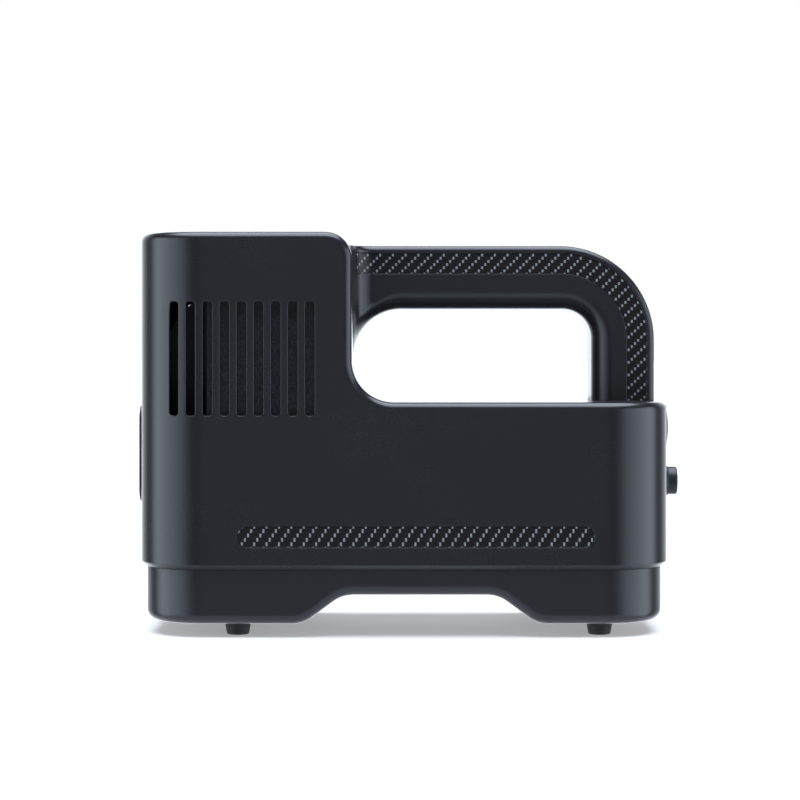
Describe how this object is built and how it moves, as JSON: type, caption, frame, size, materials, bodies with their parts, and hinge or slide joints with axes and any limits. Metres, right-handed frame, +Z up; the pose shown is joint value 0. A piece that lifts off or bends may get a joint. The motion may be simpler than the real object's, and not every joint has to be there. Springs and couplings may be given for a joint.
{
  "type": "electric air mattress pump",
  "caption": "Cordless air mattress pump: tower with air slots and a blower inside, low deck, arched carry handle, end outlet and push button.",
  "frame": {"origin": "centre of the footprint's bounding box, on the plane the feet stand on", "axes": "+X from the air outlet to the power button, -Y the front, +Z up"},
  "size_m": [0.1922, 0.085, 0.14],
  "materials": {
    "case_plastic": "satin moulded, fine grain",
    "handle_plastic": "satin moulded, fine grain",
    "base_plastic": "satin moulded",
    "weave_strip": "woven-look film, diagonal rows",
    "screen_foam": "fine open screen",
    "dark_rubber": "soft matt",
    "button_plastic": "satin",
    "outlet_plastic": "satin",
    "blower_plastic": "glass-filled nylon",
    "impeller_plastic": "natural nylon",
    "screw_steel": "black zinc",
    "machined_steel": "ground",
    "motor_aluminium": "turned",
    "rotor_paint": "black anodised",
    "magnet": "nickel plated",
    "lamination": "stacked sheet",
    "copper_wire": "enamelled",
    "cell_wrap": "shrink sleeve",
    "pack_plastic": "moulded",
    "nickel": "nickel strip",
    "circuit_board": "solder mask",
    "chip_black": "epoxy",
    "capacitor_can": "sleeved can",
    "socket_nylon": "nylon",
    "heat_sink_metal": "extruded",
    "lead_sleeve": "pvc",
    "socket_steel": "stamped"
  },
  "bodies": {
    "case": {"front_shell": "case_plastic", "rear_shell": "case_plastic", "handle_front": "handle_plastic", "handle_rear": "handle_plastic", "front_handle_strip": "weave_strip", "rear_handle_strip": "weave_strip", "front_side_strip": "weave_strip", "rear_side_strip": "weave_strip", "front_screen": "screen_foam", "rear_screen": "screen_foam", "base_tray": "base_plastic", "feet": "dark_rubber", "case_screws": "screw_steel", "base_screws": "screw_steel", "handle_screws": "screw_steel", "board_screws": "screw_steel", "motor_screws": "screw_steel", "outlet_flange": "outlet_plastic", "outlet_guard": "outlet_plastic", "outlet_gasket": "dark_rubber", "volute_body": "blower_plastic", "volute_cover": "blower_plastic", "blower_grommets": "dark_rubber", "motor_base": "motor_aluminium", "front_bearing": "machined_steel", "rear_bearing": "machined_steel", "stator_core": "lamination", "stator_windings": "copper_wire", "battery_cell_1": "cell_wrap", "battery_cell_2": "cell_wrap", "battery_cell_3": "cell_wrap", "pack_lower": "pack_plastic", "pack_upper": "pack_plastic", "cell_tabs": "nickel", "protection_board": "circuit_board", "control_board": "circuit_board", "board_chips": "chip_black", "heat_sink": "heat_sink_metal", "board_capacitors": "capacitor_can", "board_sockets": "socket_nylon", "button_bezel": "button_plastic", "switch_body": "chip_black", "button_spring": "machined_steel", "button_nut": "screw_steel", "socket_bezel": "button_plastic", "socket_shell": "socket_steel", "socket_tongue": "chip_black", "socket_pin": "machined_steel", "socket_nut": "screw_steel", "motor_leads": "lead_sleeve", "battery_leads": "lead_sleeve", "switch_leads": "lead_sleeve"},
    "blower_rotor": {"impeller_wheel": "impeller_plastic", "impeller_shroud": "impeller_plastic", "impeller_nut": "machined_steel", "rotor_bell": "rotor_paint", "rotor_magnets": "magnet", "motor_shaft": "machined_steel"},
    "power_button": {"button_cap": "button_plastic"},
    "charging_cover": {"socket_cover": "dark_rubber"}
  },
  "joints": [
    {"name": "rotor_spin", "type": "hinge", "parent": "case", "child": "blower_rotor", "pos_m": [-0.05875, 0, 0.092], "axis": [0, 1, 0], "continuous": true},
    {"name": "button_press", "type": "slide", "parent": "case", "child": "power_button", "axis": [-1, 0, 0], "range_m": [0, 0.0015], "stiffness_N_per_m": 900},
    {"name": "cover_swing", "type": "hinge", "parent": "case", "child": "charging_cover", "pos_m": [0.09135, 0, 0.0786], "axis": [0, -1, 0], "range_deg": [0, 110]}
  ]
}
